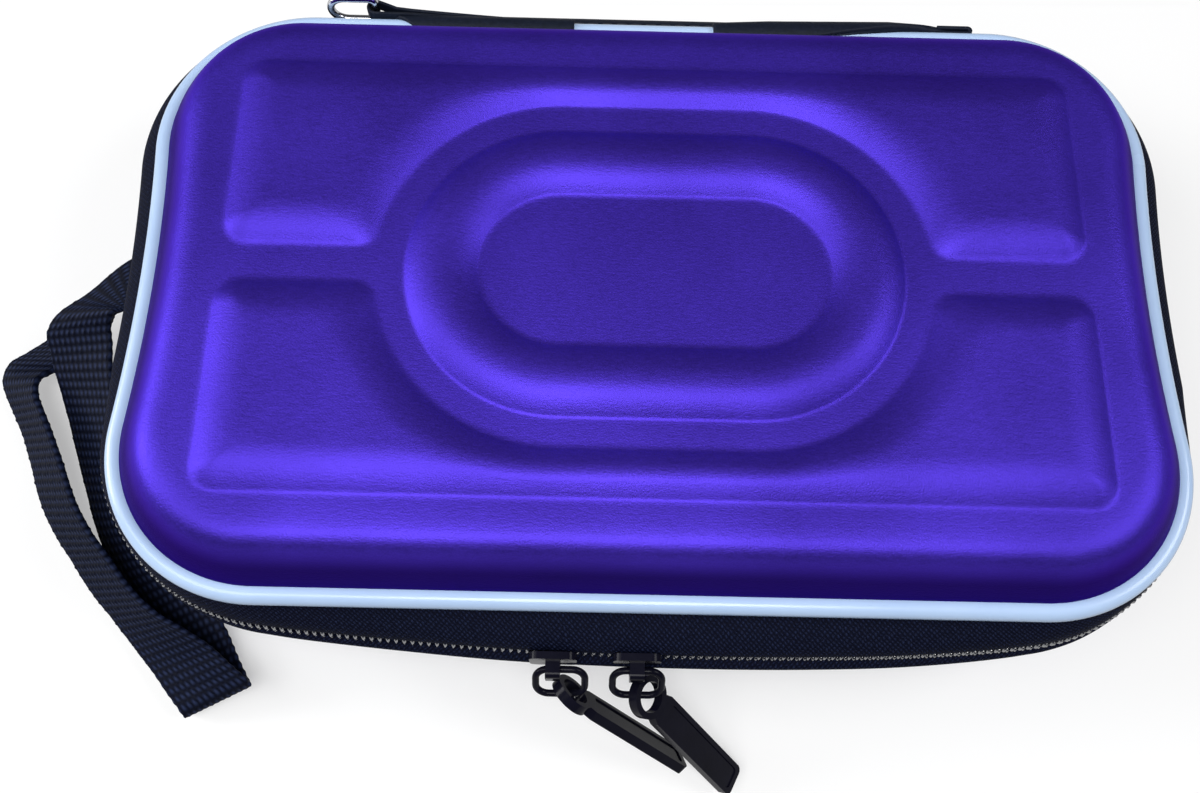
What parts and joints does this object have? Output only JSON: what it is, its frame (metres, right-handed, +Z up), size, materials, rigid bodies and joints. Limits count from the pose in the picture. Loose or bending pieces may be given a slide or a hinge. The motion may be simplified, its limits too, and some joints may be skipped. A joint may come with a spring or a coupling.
{
  "type": "portable game console case",
  "caption": "Moulded zip case for a handheld game console: purple fabric shells with pressed relief, pale piping, black zip with pull tabs, wrist strap and D-ring.",
  "frame": {"origin": "centre of the flat underside that the case rests on", "axes": "+Z up, -Y is the front with the zip pulls, +Y the fabric hinge, -X the wrist-strap end"},
  "size_m": [0.224, 0.1443, 0.0492],
  "materials": {
    "shell_fabric": "satin",
    "piping": "gloss",
    "zip_tape": "woven",
    "zip_coil": "gloss",
    "binding": "woven",
    "hinge_fabric": "smooth",
    "ring_metal": "polished",
    "black_metal": "satin",
    "webbing": "woven",
    "net": "net",
    "elastic": "ribbed"
  },
  "bodies": {
    "base": {"base_shell": "shell_fabric", "base_piping": "piping", "base_zip_tape": "zip_tape", "base_zip_coil": "zip_coil", "base_binding": "binding", "hinge_strip": "hinge_fabric", "retaining_band": "elastic", "wrist_strap": "webbing"},
    "lid": {"lid_shell": "shell_fabric", "lid_piping": "piping", "lid_zip_tape": "zip_tape", "lid_zip_coil": "zip_coil", "lid_binding": "binding", "lap_left": "hinge_fabric", "lap_right": "hinge_fabric", "ring_tab": "hinge_fabric", "end_tab": "hinge_fabric", "mesh_pocket": "net", "pocket_elastic": "elastic"},
    "d_ring": {"d_ring": "ring_metal"},
    "slider_left": {"slider_left": "black_metal"},
    "slider_right": {"slider_right": "black_metal"},
    "ring_left": {"pull_ring_left": "black_metal"},
    "ring_right": {"pull_ring_right": "black_metal"},
    "tab_left": {"pull_tab_left": "black_metal"},
    "tab_right": {"pull_tab_right": "black_metal"}
  },
  "joints": [
    {"name": "lid_hinge", "type": "hinge", "parent": "base", "child": "lid", "pos_m": [0, 0.0619, 0.026], "axis": [-1, 0, 0], "range_deg": [0, 110], "deforming": ["hinge_strip"]},
    {"name": "d_ring_swing", "type": "hinge", "parent": "lid", "child": "d_ring", "pos_m": [-0.053, 0.0578, 0.0358], "axis": [0, 0, -1], "range_deg": [0, 85]},
    {"name": "slider_left_run", "type": "slide", "parent": "base", "child": "slider_left", "axis": [1, 0, 0], "range_m": [-0.044, 0.002]},
    {"name": "slider_right_run", "type": "slide", "parent": "base", "child": "slider_right", "axis": [1, 0, 0], "range_m": [-0.002, 0.06]},
    {"name": "ring_left_swing", "type": "hinge", "parent": "slider_left", "child": "ring_left", "pos_m": [-0.0154, -0.0641, 0.025], "axis": [1, 0, 0], "range_deg": [-60, 20]},
    {"name": "ring_right_swing", "type": "hinge", "parent": "slider_right", "child": "ring_right", "pos_m": [-0.0016, -0.0641, 0.025], "axis": [1, 0, 0], "range_deg": [-60, 20]},
    {"name": "tab_left_swing", "type": "hinge", "parent": "ring_left", "child": "tab_left", "pos_m": [-0.0125, -0.06748, 0.02017], "axis": [1, 0, 0], "range_deg": [-40, 20]},
    {"name": "tab_right_swing", "type": "hinge", "parent": "ring_right", "child": "tab_right", "pos_m": [0.0003, -0.06748, 0.02017], "axis": [1, 0, 0], "range_deg": [-40, 20]}
  ]
}
